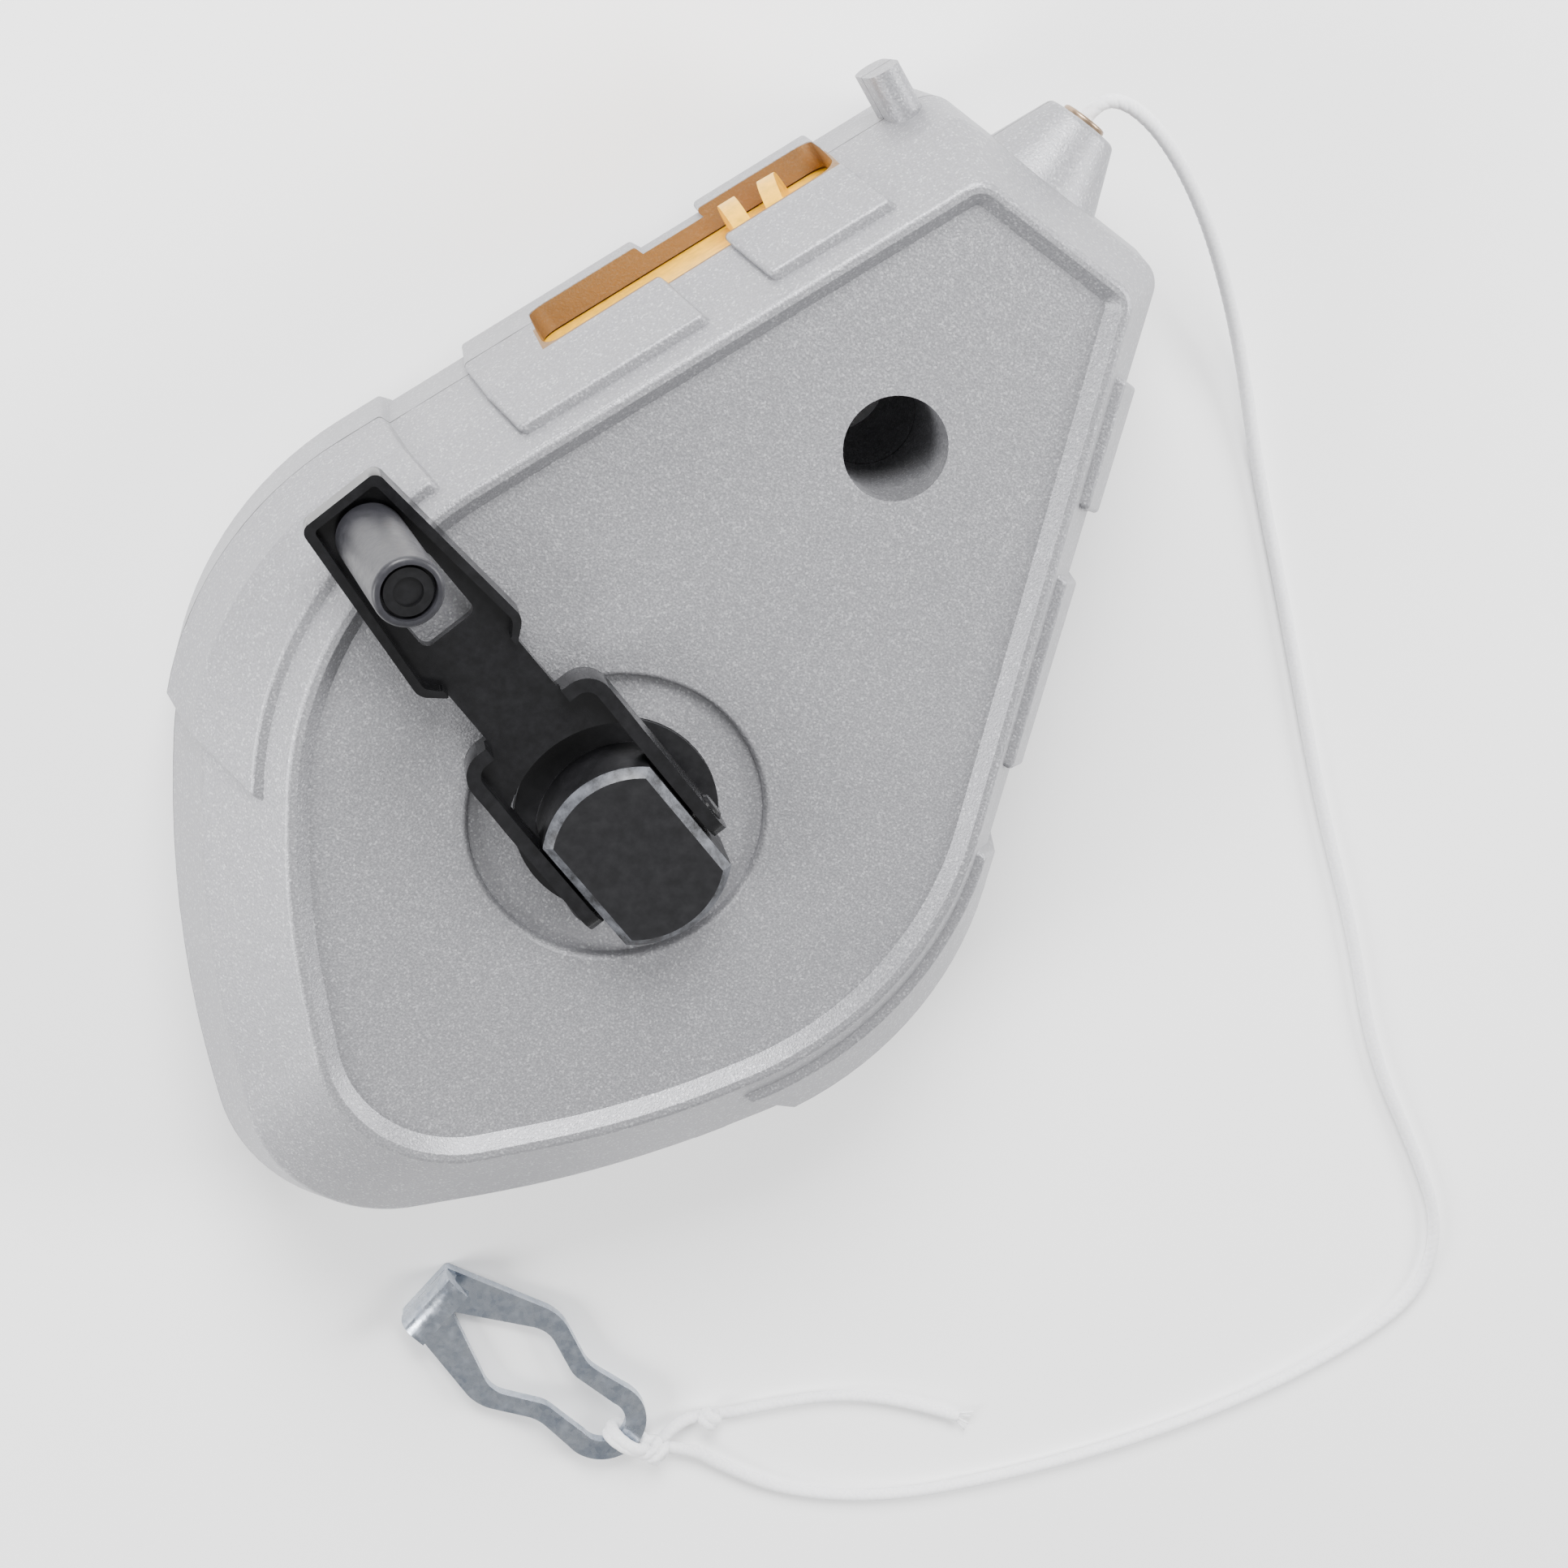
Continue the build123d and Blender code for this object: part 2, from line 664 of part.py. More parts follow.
with BuildPart() as crank_arm:
    # Yoke, neck and frame in one flat blank.
    with BuildSketch(arm_plane(plate_bottom)):
        with Locations((yoke_reach / 2 + 2, 0)):
            RectangleRounded(yoke_reach - 4, 2 * ear_outer, 2.8)
        with Locations((yoke_reach / 2 - 1, 0)):
            Rectangle(yoke_reach - 8, 2 * ear_outer)
        with Locations(((yoke_reach + frame_start) / 2, 0)):
            Rectangle(frame_start - yoke_reach + 4, 2 * neck_half)
        with BuildLine():
            FilletPolyline(*frame_points(0), radius=[0.3, 1.6, 1.0, 1.0, 1.6, 0.3], close=True)
        make_face()
        Circle(inner_arc, mode=Mode.SUBTRACT)
        with Locations(((window_start + window_end) / 2, 0)):
            RectangleRounded(window_end - window_start, window_width, 0.9, mode=Mode.SUBTRACT)
    extrude(amount=sheet)
    # Turned-up edge round the frame.
    with BuildSketch(arm_plane(plate_top)):
        with BuildLine():
            FilletPolyline(*frame_points(0), radius=[0.3, 1.6, 1.0, 1.0, 1.6, 0.3], close=True)
        make_face()
        with BuildLine():
            FilletPolyline(*frame_points(frame_wall), radius=[0.3, 1.0, 0.5, 0.5, 1.0, 0.3], close=True)
        make_face(mode=Mode.SUBTRACT)
        with Locations((frame_start, 0)):
            Rectangle(2.2, 2 * neck_half - 0.4, mode=Mode.SUBTRACT)
    extrude(amount=frame_rise)
    # Turned-up shoulders of the yoke.
    with BuildSketch(arm_plane(plate_top)):
        with Locations((yoke_reach / 2 + 2, 0)):
            RectangleRounded(yoke_reach - 4, 2 * ear_outer, 2.8)
            RectangleRounded(yoke_reach - 4 - 2 * sheet, 2 * ear_inner, 1.4, mode=Mode.SUBTRACT)
        with Locations((0, 0)):
            Rectangle(2 * 9.0, 4 * ear_outer, mode=Mode.SUBTRACT)
        with Locations((yoke_reach, 0)):
            Rectangle(6.0, 2 * neck_half + 0.6, mode=Mode.SUBTRACT)
    extrude(amount=ear_top - plate_top - 0.5)
    # Two ears that straddle the block.
    for side in (-1, 1):
        with BuildSketch(pivot_plane.offset(side * ear_inner)) as ear_sketch:
            Circle(ear_round)
            with BuildLine():
                Polyline(
                    (0, -ear_round),
                    (pivot_offset + 6.0, -ear_round + 0.7),
                    (pivot_offset + ear_reach, plate_bottom - pivot_z),
                    (pivot_offset + ear_reach, ear_top - pivot_z - 0.5),
                    (pivot_offset + 8.0, ear_top - pivot_z),
                    (0, ear_round),
                    close=True,
                )
            make_face()
            Circle(pin_radius + running_gap, mode=Mode.SUBTRACT)
        extrude(amount=side * sheet)
    with BuildSketch(grip_plane(plate_bottom - grip_base - 1)):
        Circle(rivet_radius)
    extrude(amount=10, mode=Mode.SUBTRACT)
crank_arm.part.label = "crank_arm"

with BuildPart() as crank_grip:
    with BuildSketch(grip_plane(0)):
        Circle(grip_radius)
    extrude(amount=grip_length)
    fillet(crank_grip.edges().group_by(Axis(grip_plane(0).origin, grip_lean))[-1], radius=0.5)
    with BuildSketch(grip_plane(-1)):
        Circle(rivet_radius + running_gap)
    extrude(amount=grip_length + 2, mode=Mode.SUBTRACT)
    with BuildSketch(grip_plane(grip_length - counterbore)):
        Circle(rivet_head_radius + 0.35)
    extrude(amount=counterbore + 1, mode=Mode.SUBTRACT)
crank_grip.part.label = "crank_grip"

rivet_seat = grip_length - counterbore + running_gap
with BuildPart() as grip_rivet:
    with BuildSketch(grip_plane(plate_bottom - grip_base)):
        Circle(rivet_radius)
    extrude(amount=rivet_seat + grip_base - plate_bottom)
    with BuildSketch(grip_plane(rivet_seat)):
        Circle(rivet_head_radius)
    extrude(amount=0.9)
    with BuildSketch(grip_plane(rivet_seat + 0.5)):
        Circle(1.4)
    extrude(amount=1, mode=Mode.SUBTRACT)
grip_rivet.part.label = "grip_rivet"

# ---------------------------------------------------------------- sliding door
tab_thickness = 1.9
tab_height = door_depth + pad_height
tab_half = slot_width / 2 - 0.5
tab_places = ((6.0, 0.0), (10.4, 9.0))
with BuildPart() as fill_door:
    side_block(
        (-door_end, -door_half_width, door_depth),
        (door_end, door_half_width, door_inner),
    )
    for place, skew in tab_places:
        with BuildSketch(door_plane * Location((place, 0, -door_depth), (0, 90, 0)) * Rotation(skew, 0, 0)):
            with BuildLine():
                Line((0, -tab_half), (0, tab_half))
                ThreePointArc((0, tab_half), (-tab_height, 0), (0, -tab_half))
            make_face()
        extrude(amount=tab_thickness / 2, both=True)
fill_door.part.label = "fill_door"

with BuildPart() as door_seal:
    side_block((-15.0, -ledge_lip + 0.5, door_inner), (15.0, ledge_lip - 0.5, door_inner + 0.9))
door_seal.part.label = "door_seal"

# ---------------------------------------------------------------- screws
with BuildPart() as case_screws:
    for place in screw_places:
        round_column(place, screw_head_radius, 0.4, screw_head_depth + 0.2)
        round_column(place, screw_radius, 0.5, screw_tip)
    with BuildSketch(Plane.XY):
        with Locations(*screw_places):
            Rectangle(3.4, 0.7)
            Rectangle(0.7, 3.4)
    extrude(amount=1.2, mode=Mode.SUBTRACT)
case_screws.part.label = "case_screws"

# ---------------------------------------------------------------- line inside the case
def tube(path_points, radii, label):
    """Round line along straight runs joined by arcs. Returns the piece and its path length."""
    with BuildPart() as piece:
        with BuildLine() as path:
            FilletPolyline(*path_points, radius=radii)
        start = Vector(*path_points[0])
        heading = Vector(*path_points[1]) - start
        with BuildSketch(Plane(origin=start, z_dir=heading.normalized())):
            Circle(line_radius)
        sweep(path=path.line)
    piece.part.label = label
    return piece.part, path.wires()[0].length


line_end = nose_tip + eyelet_lip
lead_points = [
    (winding_radius - 2.0, 14.5, seam_height),
    (tube_radius + 2.4, 50.5, seam_height),
    (0, 63.0, seam_height),
    (0, line_end, seam_height),
]
line_lead, _ = tube(lead_points, [8.0, 8.0], "line_lead")

# ---------------------------------------------------------------- free line, knot, hook
floor_z = line_radius + 0.05
line_points = [
    (0, line_end, seam_height),
    (0, 84.9, 15.5),
    (2.9, 86.5, 15.4),
    (8.6, 86.0, 14.5),
    (16.8, 83.4, 11.2),
    (25.6, 79.3, 6.6),
    (34.5, 73.9, 2.6),
    (44.0, 66.2, floor_z),
    (58.0, 55.2, floor_z),
    (77.0, 39.8, floor_z),
    (90.5, 30.3, floor_z),
    (104.0, 19.0, floor_z),
    (117.0, 12.3, floor_z),
    (127.0, 6.3, floor_z),
    (131.4, -2.0, floor_z),
    (129.6, -11.0, floor_z),
    (122.5, -25.5, floor_z),
    (111.5, -41.0, floor_z),
    (99.0, -54.5, floor_z),
    (89.5, -62.6, floor_z),
    (79.0, -67.6, floor_z),
    (70.0, -68.6, floor_z),
    (65.3, -68.4, 1.2),
    (61.6, -70.0, 1.9),
]


def arc_radii(points):
    """Largest arcs that the runs allow: 0.45 of the shorter run over the tangent of half the turn."""
    radii = []
    for before, here, after in zip(points, points[1:], points[2:]):
        run_in = Vector(*here) - Vector(*before)
        run_out = Vector(*after) - Vector(*here)
        half_turn = math.radians(run_in.get_angle(run_out)) / 2
        radii.append(0.45 * min(run_in.length, run_out.length) / math.tan(half_turn))
    return radii


line_radii = arc_radii(line_points)
print("line arc radii", [round(radius, 1) for radius in line_radii])
whole_line, line_length = tube(line_points, line_radii, "chalk_line")
print("line length", round(line_length, 1))
line_section = math.pi * line_radius ** 2
print("tube volume over section times length", round(whole_line.volume / (line_section * line_length), 4))

# The hook lies tilted, its lipped end on the surface and its eye on the line's loop.
eye_place = (53.2, -70.1)
hook_turn = -5.4           # direction of the hook's length, from +X
hook_reach = 27.9          # eye to the lipped end
hook_tilt = math.degrees(math.asin((hook_lift - 0.05) / hook_reach))
lip_half_width = 4.0
lip_height = 4.6
eye_radius = 5.2
eye_window = 2.7
eye_middle = (eye_radius + eye_window) / 2
hook_frame = Plane.XY * Location((*eye_place, hook_lift)) * Rotation(0, 0, hook_turn) * Rotation(0, -hook_tilt, 0)
hook_outside = [(-hook_reach, lip_half_width), (-13.4, 7.7), (-6.4, 4.6), (-0.5, 5.15)]
hook_inside = [(-23.6, 0.05), (-13.2, 5.2), (-6.9, 2.5), (-0.1, 2.65)]


def mirrored_ring(half):
    return half + [(x, -y) for x, y in reversed(half)]


with BuildPart() as line_hook:
    with BuildSketch(hook_frame):
        with BuildLine():
            FilletPolyline(*mirrored_ring(hook_outside), radius=[0.5, 6, 5, 0.4, 0.4, 5, 6, 0.5], close=True)
        make_face()
        Circle(eye_radius)
        with BuildLine():
            FilletPolyline(
                *mirrored_ring(hook_inside), radius=[0.03, 4, 4, 0.4, 0.4, 4, 4, 0.03], close=True
            )
        make_face(mode=Mode.SUBTRACT)
        Circle(eye_window, mode=Mode.SUBTRACT)
    extrude(amount=hook_thickness)
    # Lip turned up at the wide end and curled back over the plate.
    lip_middle = hook_thickness / 2
    with BuildSketch(hook_frame * Rotation(90, 0, 0)):
        with BuildLine():
            FilletPolyline(
                (-hook_reach + 3.0, lip_middle),
                (-hook_reach + lip_middle, lip_middle),
                (-hook_reach + lip_middle, lip_height - lip_middle),
                (-hook_reach + lip_middle + 2.6, lip_height - lip_middle + 0.3),
                radius=[1.0, 1.4],
            )
        trace(line_width=hook_thickness)
    extrude(amount=lip_half_width, both=True)
line_hook.part.label = "line_hook"

# Loop of line round the hook's eye, drawn up in a knot.
loop_turn = Rotation(0, 0, hook_turn)
loop_middle = Vector(
    eye_place[0] + eye_middle * math.cos(math.radians(hook_turn)),
    eye_place[1] + eye_middle * math.sin(math.radians(hook_turn)),
    hook_lift + hook_thickness / 2 + 0.2,
)
loop_half_width = (eye_radius - eye_window) / 2 + loose_gap + 0.15
loop_half_height = hook_thickness / 2 + loose_gap + 0.05
knot_radius = 1.85
knot_middle = Vector(loop_middle.X + loop_half_width + line_diameter + 0.9, loop_middle.Y - 0.1, knot_radius + 0.05)
with BuildPart() as line_knot:
    with BuildSketch(Plane(origin=loop_middle, x_dir=(1, 0, 0), z_dir=(0, -1, 0))):
        Ellipse(loop_half_width + line_diameter * 0.9, loop_half_height + line_diameter * 0.85)
        SlotOverall(2 * loop_half_width + 0.9, 2 * loop_half_height, mode=Mode.SUBTRACT)
    extrude(amount=line_radius * 0.9, both=True)
    with Locations(tuple(knot_middle)):
        Sphere(knot_radius)
line_knot.part.label = "line_knot"

tail_points = [
    (61.2, -68.9, 1.9),
    (61.6, -65.2, 1.7),
    (65.5, -63.2, 0.9),
    (70.2, -58.6, floor_z),
    (76.8, -52.9, floor_z),
    (85.0, -49.3, floor_z),
    (91.5, -47.8, floor_z),
]
tail_tube, tail_length = tube(tail_points, arc_radii(tail_points), "line_tail")
print("tail length", round(tail_length, 1), "volume ratio", round(tail_tube.volume / (line_section * tail_length), 4))
with BuildPart() as line_tail:
    add(tail_tube)
    with Locations((64.6, -63.7, 1.5)):
        Sphere(1.45)
    add(line_knot.part, mode=Mode.SUBTRACT)
line_tail.part.label = "line_tail"

with BuildPart() as chalk_line:
    add(whole_line)
    add(line_knot.part, mode=Mode.SUBTRACT)
chalk_line.part.label = "chalk_line"

# ---------------------------------------------------------------- write the pieces
pieces = [
    front_shell.part, rear_shell.part, nose.part, line_eyelet.part, line_wiper.part,
    hub_block.part, crank_pins.part, drive_shaft.part, hub_washer.part, rear_bush.part,
    spool.part, spool_clip.part, line_winding.part, crank_arm.part, crank_grip.part,
    grip_rivet.part, fill_door.part, door_seal.part, case_screws.part, line_lead,
    chalk_line.part, line_knot.part, line_tail.part, line_hook.part,
]
for piece in pieces:
    export_step(piece, f"parts/{piece.label}.step")
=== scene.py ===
import bpy
import math
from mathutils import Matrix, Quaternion, Vector


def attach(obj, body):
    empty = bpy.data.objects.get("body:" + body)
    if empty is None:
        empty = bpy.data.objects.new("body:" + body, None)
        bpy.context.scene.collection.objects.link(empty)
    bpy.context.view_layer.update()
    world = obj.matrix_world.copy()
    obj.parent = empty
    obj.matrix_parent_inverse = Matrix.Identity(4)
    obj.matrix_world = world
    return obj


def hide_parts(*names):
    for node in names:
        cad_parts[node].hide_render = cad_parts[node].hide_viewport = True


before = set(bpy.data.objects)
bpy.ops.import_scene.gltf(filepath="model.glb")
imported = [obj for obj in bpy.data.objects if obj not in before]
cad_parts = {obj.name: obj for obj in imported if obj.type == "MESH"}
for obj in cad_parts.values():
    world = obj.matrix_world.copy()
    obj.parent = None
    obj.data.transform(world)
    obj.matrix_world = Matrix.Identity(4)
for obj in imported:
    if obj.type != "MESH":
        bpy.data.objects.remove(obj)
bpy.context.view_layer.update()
mm = 0.001


# Camera

cameraSettings = {
    "spot": (-0.0843, 0.0635, 0.2944),
    "lookAt": (0.0175, 0.0093, 0.0155),
    "turn": 153.6,  # degrees about the line of sight
    "lens": 65.1,
    "sensor": 36.0,
    "clipStart": 0.01,
}


def addCamera(settings):
    camera = bpy.data.objects.new("camera", bpy.data.cameras.new("camera"))
    bpy.context.scene.collection.objects.link(camera)
    spot = Vector(settings["spot"])
    sight = Vector(settings["lookAt"]) - spot
    turn = Quaternion((0, 0, 1), math.radians(settings["turn"]))
    camera.location = spot
    camera.rotation_mode = "QUATERNION"
    camera.rotation_quaternion = sight.to_track_quat("-Z", "Y") @ turn
    camera.data.lens = settings["lens"]
    camera.data.sensor_width = settings["sensor"]
    camera.data.clip_start = settings["clipStart"]
    bpy.context.scene.camera = camera


addCamera(cameraSettings)
print("camera placed")


# Line, knot and tail, on the same routes as the frame's

lineSettings = {
    "diameter": 1.5 * mm,
    "length": 270.0 * mm,
    "lobes": 3,
    "lobeDepth": 0.09,
    "twist": 3.4 * mm,  # length of one turn of the strands
    "around": 20,
    "routeSteps": 60,
    "loopSteps": 64,
}
linePoints = [
    (0, 82.6, 15.5), (0, 84.9, 15.5), (2.9, 86.5, 15.4), (8.6, 86.0, 14.5),
    (16.8, 83.4, 11.2), (25.6, 79.3, 6.6), (34.5, 73.9, 2.6), (44.0, 66.2, 0.8),
    (58.0, 55.2, 0.8), (77.0, 39.8, 0.8), (90.5, 30.3, 0.8), (104.0, 19.0, 0.8),
    (117.0, 12.3, 0.8), (127.0, 6.3, 0.8), (131.4, -2.0, 0.8), (129.6, -11.0, 0.8),
    (122.5, -25.5, 0.8), (111.5, -41.0, 0.8), (99.0, -54.5, 0.8), (89.5, -62.6, 0.8),
    (79.0, -67.6, 0.8), (70.0, -68.6, 0.8), (65.3, -68.4, 1.2), (61.6, -70.0, 1.9),
]
tailPoints = [
    (61.2, -68.9, 1.9), (61.6, -65.2, 1.7), (65.5, -63.2, 0.9), (70.2, -58.6, 0.8),
    (76.8, -52.9, 0.8), (85.0, -49.3, 0.8), (91.5, -47.8, 0.8),
]


# Points read from the smooth spline that a route's points control.
def followSpline(points, steps):
    curve = bpy.data.curves.new("route", "CURVE")
    curve.dimensions = "3D"
    spline = curve.splines.new("NURBS")
    spline.points.add(len(points) - 1)
    for control, point in zip(spline.points, points):
        control.co = (*(mm * value for value in point), 1)
    spline.order_u = 3
    spline.use_endpoint_u = True
    curve.resolution_u = steps
    holder = bpy.data.objects.new("route", curve)
    bpy.context.scene.collection.objects.link(holder)
    mesh = bpy.data.meshes.new_from_object(holder)
    followed = [vertex.co.copy() for vertex in mesh.vertices]
    bpy.data.objects.remove(holder)
    return followed


def makePiece(name, vertices, faces):
    mesh = bpy.data.meshes.new(name)
    mesh.from_pydata([tuple(vertex) for vertex in vertices], [], faces)
    mesh.shade_smooth()
    piece = bpy.data.objects.new(name, mesh)
    bpy.context.scene.collection.objects.link(piece)
    return piece


# Twisted tube along points. Its ring is carried along without kinks.
def makeStrand(name, points, radius, settings, taper=0.0):
    around = settings["around"]
    ways = [(after - before).normalized() for before, after in zip(points, points[1:])]
    ways.append(ways[-1])
    side = ways[0].orthogonal().normalized()
    vertices = []
    faces = []
    run = 0.0
    for index, (point, way) in enumerate(zip(points, ways)):
        side = (side - way * side.dot(way)).normalized()
        across = way.cross(side)
        if index:
            run += (point - points[index - 1]).length
        turned = math.tau * run / settings["twist"]
        shrink = 1 - taper * index / len(points)
        for step in range(around):
            angle = math.tau * step / around
            wave = abs(math.cos(settings["lobes"] * (angle - turned) / 2))
            lobe = min(1 - settings["lobeDepth"] * (1 - wave * 2), 1.0)
            reach = radius * shrink * lobe
            vertices.append(point + (side * math.cos(angle) + across * math.sin(angle)) * reach)
    for ring in range(len(points) - 1):
        low = ring * around
        high = low + around
        for step in range(around):
            after = (step + 1) % around
            faces.append((low + step, low + after, high + after, high + step))
    faces.append(tuple(reversed(range(around))))
    faces.append(tuple(range(len(vertices) - around, len(vertices))))
    return makePiece(name, vertices, faces)


def joinStrands(name, strands):
    vertices = []
    faces = []
    for strand in strands:
        start = len(vertices)
        vertices += [tuple(vertex.co) for vertex in strand.data.vertices]
        for face in strand.data.polygons:
            faces.append(tuple(start + corner for corner in face.vertices))
        bpy.data.objects.remove(strand)
    return makePiece(name, vertices, faces)


# One strand wound about a place, drifting as it goes round.
def windStrand(loop, settings):
    middle = Vector(loop["middle"]) * mm
    along = Vector(loop["along"]).normalized() * loop["width"] * mm
    across = Vector(loop["across"]).normalized() * loop["height"] * mm
    drift = Vector(loop["drift"]) * mm
    count = int(settings["loopSteps"] * loop["turns"])
    path = []
    for step in range(count + 1):
        angle = math.tau * step / settings["loopSteps"]
        share = step / (settings["loopSteps"] * loop["turns"]) - 0.5
        path.append(middle + along * math.cos(angle) + across * math.sin(angle) + drift * share)
    return makeStrand(loop["name"], path, loop["radius"] * mm, settings)


lineRadius = lineSettings["diameter"] / 2
linePath = followSpline(linePoints, lineSettings["routeSteps"])
freeLine = makeStrand("freeLine", linePath, lineRadius, lineSettings)
print("free line", len(freeLine.data.vertices), "vertices")

tailSettings = {
    "taper": 0.08,
    "frays": [(-0.5, 0.3), (-0.15, 0.9), (0.2, 0.2), (0.5, 0.7)],  # spread and lift of each
    "frayReach": 3.2 * mm,
    "frayRoot": 1.5 * mm,  # how far back inside the tail a fray starts
    "frayRadius": 0.22 * mm,
    "frayTaper": 0.5,
    "fraySteps": 8,
    "fraySpread": 2.2 * mm,
    "rootSpread": 0.6 * mm,
    "frayLift": 0.35 * mm,
    "frayDrop": 0.35,
    "tipSteps": 8,  # the tip's direction is taken over this many points
    # A small overhand knot in the tail.
    "knot": [
        {
            "name": "tailKnotA", "middle": (64.6, -63.7, 1.55), "along": (1, 0, 0), "across": (0, 0, 1),
            "width": 0.85, "height": 0.75, "turns": 1.5, "drift": (0, 1.3, 0), "radius": 0.62,
        },
        {
            "name": "tailKnotB", "middle": (64.6, -63.7, 1.55), "along": (1, 1, 0), "across": (0, 0, 1),
            "width": 0.9, "height": 0.7, "turns": 1.0, "drift": (-0.8, 0.8, 0), "radius": 0.55,
        },
    ],
}


def makeFrays(tailPath, settings):
    tip = tailPath[-1]
    way = (tip - tailPath[-settings["tipSteps"]]).normalized()
    side = Vector((0, 0, 1)).cross(way)
    frays = []
    for spread, lift in settings["frays"]:
        path = []
        for step in range(settings["fraySteps"] + 1):
            share = step / settings["fraySteps"]
            forward = share * settings["frayReach"] - settings["frayRoot"]
            sideways = spread * (share * share * settings["fraySpread"] + settings["rootSpread"])
            height = (lift * share - settings["frayDrop"]) * settings["frayLift"]
            path.append(tip + way * forward + side * sideways + Vector((0, 0, height)))
        frays.append(makeStrand("fray", path, settings["frayRadius"], lineSettings, settings["frayTaper"]))
    return frays


tailPath = followSpline(tailPoints, lineSettings["routeSteps"])
tailParts = [makeStrand("tailStrand", tailPath, lineRadius, lineSettings, tailSettings["taper"])]
tailParts += makeFrays(tailPath, tailSettings)
tailParts += [windStrand(loop, lineSettings) for loop in tailSettings["knot"]]
lineTail = joinStrands("lineTail", tailParts)

# The line's loop through the hook's eye, and the knot that draws it up.
knotLoops = [
    {
        "name": "eyeLoopA", "middle": (57.13, -70.47, 2.5), "along": (1, 0, 0), "across": (0, 0, 1),
        "width": 2.35, "height": 1.7, "turns": 1.0, "drift": (0, 0.9, 0), "radius": 0.75,
    },
    {
        "name": "eyeLoopB", "middle": (57.13, -71.37, 2.5), "along": (1, 0, 0), "across": (0, 0, 1),
        "width": 2.3, "height": 1.65, "turns": 1.0, "drift": (0, -0.7, 0), "radius": 0.69,
    },
    {
        "name": "knotTurnA", "middle": (61.1, -70.5, 2.0), "along": (0.4, 1, 0), "across": (0, 0, 1),
        "width": 1.35, "height": 1.05, "turns": 1.6, "drift": (1.7, 0, 0), "radius": 0.675,
    },
    {
        "name": "knotTurnB", "middle": (61.1, -70.5, 2.0), "along": (1, -0.5, 0), "across": (0, 0, 1),
        "width": 1.3, "height": 0.95, "turns": 1.4, "drift": (0, 1.2, 0), "radius": 0.6375,
    },
    {
        "name": "knotTurnC", "middle": (61.1, -70.5, 2.0), "along": (1, 0, 0), "across": (0, 1, 0),
        "width": 1.3, "height": 1.2, "turns": 1.2, "drift": (0, 0, 0.8), "radius": 0.6,
    },
]
lineKnot = joinStrands("lineKnot", [windStrand(loop, lineSettings) for loop in knotLoops])

for piece, cadNode in ((freeLine, "chalk_line"), (lineTail, "line_tail"), (lineKnot, "line_knot")):
    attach(piece, "case")
    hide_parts(cadNode)
print("line, knot and tail made")


# Small helpers for materials

def newMaterial(name):
    material = bpy.data.materials.new(name)
    material.use_nodes = True
    shader = material.node_tree.nodes["Principled BSDF"]
    return material, material.node_tree, shader


def addNode(tree, kind, inputs=None, **settings):
    node = tree.nodes.new(kind)
    for key, value in settings.items():
        setattr(node, key, value)
    for key, value in (inputs or {}).items():
        if isinstance(value, bpy.types.NodeSocket):
            tree.links.new(value, node.inputs[key])
        else:
            node.inputs[key].default_value = value
    return node


def addNoise(tree, place, scale, detail=4.0, roughness=0.5):
    inputs = {"Vector": place, "Scale": scale, "Detail": detail, "Roughness": roughness}
    return addNode(tree, "ShaderNodeTexNoise", inputs).outputs["Fac"]


# A value of its own for each small cell.
def addCells(tree, place, scale):
    cells = addNode(tree, "ShaderNodeTexVoronoi", {"Vector": place, "Scale": scale}, feature="F1")
    return splitAxes(tree, cells.outputs["Color"])[0]


def addRamp(tree, factor, stops):
    ramp = addNode(tree, "ShaderNodeValToRGB", {"Fac": factor})
    while len(ramp.color_ramp.elements) < len(stops):
        ramp.color_ramp.elements.new(0.5)
    for element, (position, color) in zip(ramp.color_ramp.elements, stops):
        element.position = position
        element.color = (*color, 1)
    return ramp.outputs["Color"]


# Ramp between two grey levels, for roughness and masks.
def addGreyRamp(tree, factor, low, high):
    return addRamp(tree, factor, [(low[0], (low[1],) * 3), (high[0], (high[1],) * 3)])


def addMath(tree, operation, first, second=0.0):
    return addNode(tree, "ShaderNodeMath", {0: first, 1: second}, operation=operation).outputs[0]


def addMix(tree, factor, first, second):
    mix = addNode(tree, "ShaderNodeMix", data_type="RGBA")
    for socket, value in ((mix.inputs[0], factor), (mix.inputs[6], first), (mix.inputs[7], second)):
        if isinstance(value, bpy.types.NodeSocket):
            tree.links.new(value, socket)
        elif isinstance(value, tuple):
            socket.default_value = (*value, 1)
        else:
            socket.default_value = value
    return mix.outputs[2]


def addBump(tree, height, strength, distance, normal=None):
    inputs = {"Height": height, "Strength": strength, "Distance": distance}
    if normal is not None:
        inputs["Normal"] = normal
    return addNode(tree, "ShaderNodeBump", inputs).outputs["Normal"]


def objectPlace(tree):
    return addNode(tree, "ShaderNodeTexCoord").outputs["Object"]


def splitAxes(tree, vector):
    return addNode(tree, "ShaderNodeSeparateXYZ", {"Vector": vector}).outputs


# How far a place lies along a level direction.
def addReach(tree, x, y, direction):
    first = addMath(tree, "MULTIPLY", x, direction[0])
    second = addMath(tree, "MULTIPLY", y, direction[1])
    return addMath(tree, "ADD", first, second)


# One where a value is within a half width of a middle, else nought.
def addBand(tree, value, middle, half):
    fromMiddle = addMath(tree, "ABSOLUTE", addMath(tree, "SUBTRACT", value, middle))
    return addMath(tree, "LESS_THAN", fromMiddle, half)


# Materials

